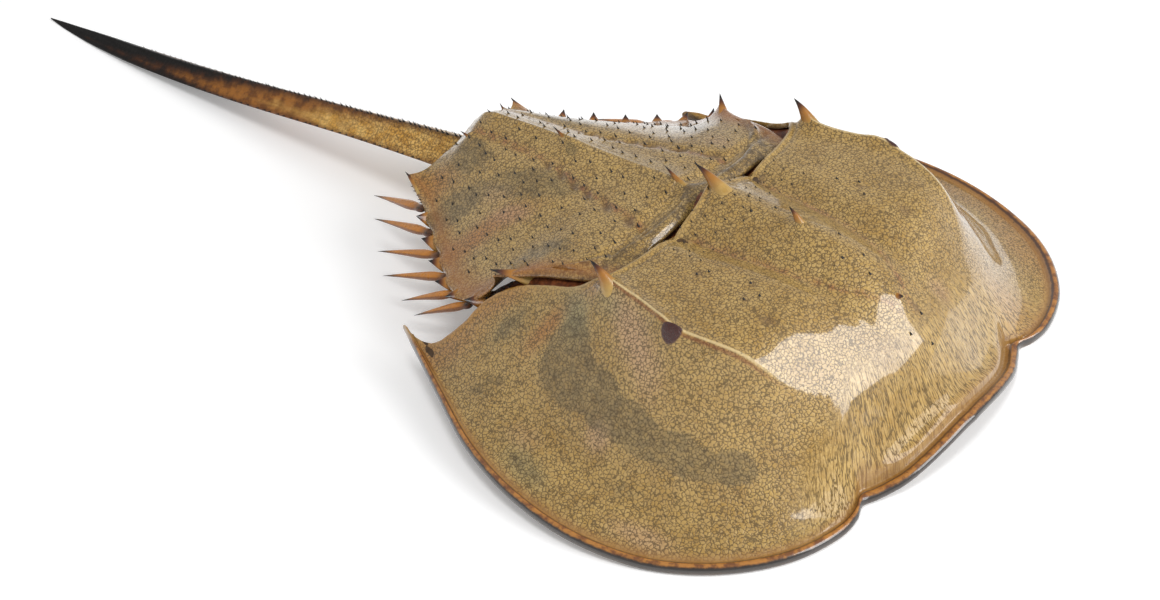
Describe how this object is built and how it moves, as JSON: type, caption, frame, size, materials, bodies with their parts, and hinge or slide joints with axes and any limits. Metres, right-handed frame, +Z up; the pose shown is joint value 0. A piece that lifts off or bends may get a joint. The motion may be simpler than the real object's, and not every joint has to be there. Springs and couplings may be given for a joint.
{
  "type": "horseshoe crab shell",
  "caption": "Dried horseshoe crab shell: domed horseshoe-shaped front plate, thorny hexagonal rear plate with movable side spines, and a long tail spine.",
  "frame": {"origin": "on the surface it lies on, under the middle of the whole length", "axes": "+X ahead (from the tail to the front of the animal), +Y to its left, +Z up"},
  "size_m": [0.503, 0.2554, 0.0709],
  "materials": {
    "plate": "glossy olive-tan shell with fine dark crackle",
    "hinge_skin": "dried translucent reddish-brown skin",
    "tail_spine": "satin brown shell, darkening towards the tip",
    "side_spine": "glossy amber shell with dark tips"
  },
  "bodies": {
    "root": {"prosoma": "plate", "opisthosoma": "plate", "hinge_membrane": "hinge_skin", "telson": "tail_spine", "marginal_spine_right_1": "side_spine", "marginal_spine_right_2": "side_spine", "marginal_spine_right_3": "side_spine", "marginal_spine_right_4": "side_spine", "marginal_spine_right_5": "side_spine", "marginal_spine_right_6": "side_spine", "marginal_spine_left_1": "side_spine", "marginal_spine_left_2": "side_spine", "marginal_spine_left_3": "side_spine", "marginal_spine_left_4": "side_spine", "marginal_spine_left_5": "side_spine", "marginal_spine_left_6": "side_spine"}
  },
  "joints": []
}
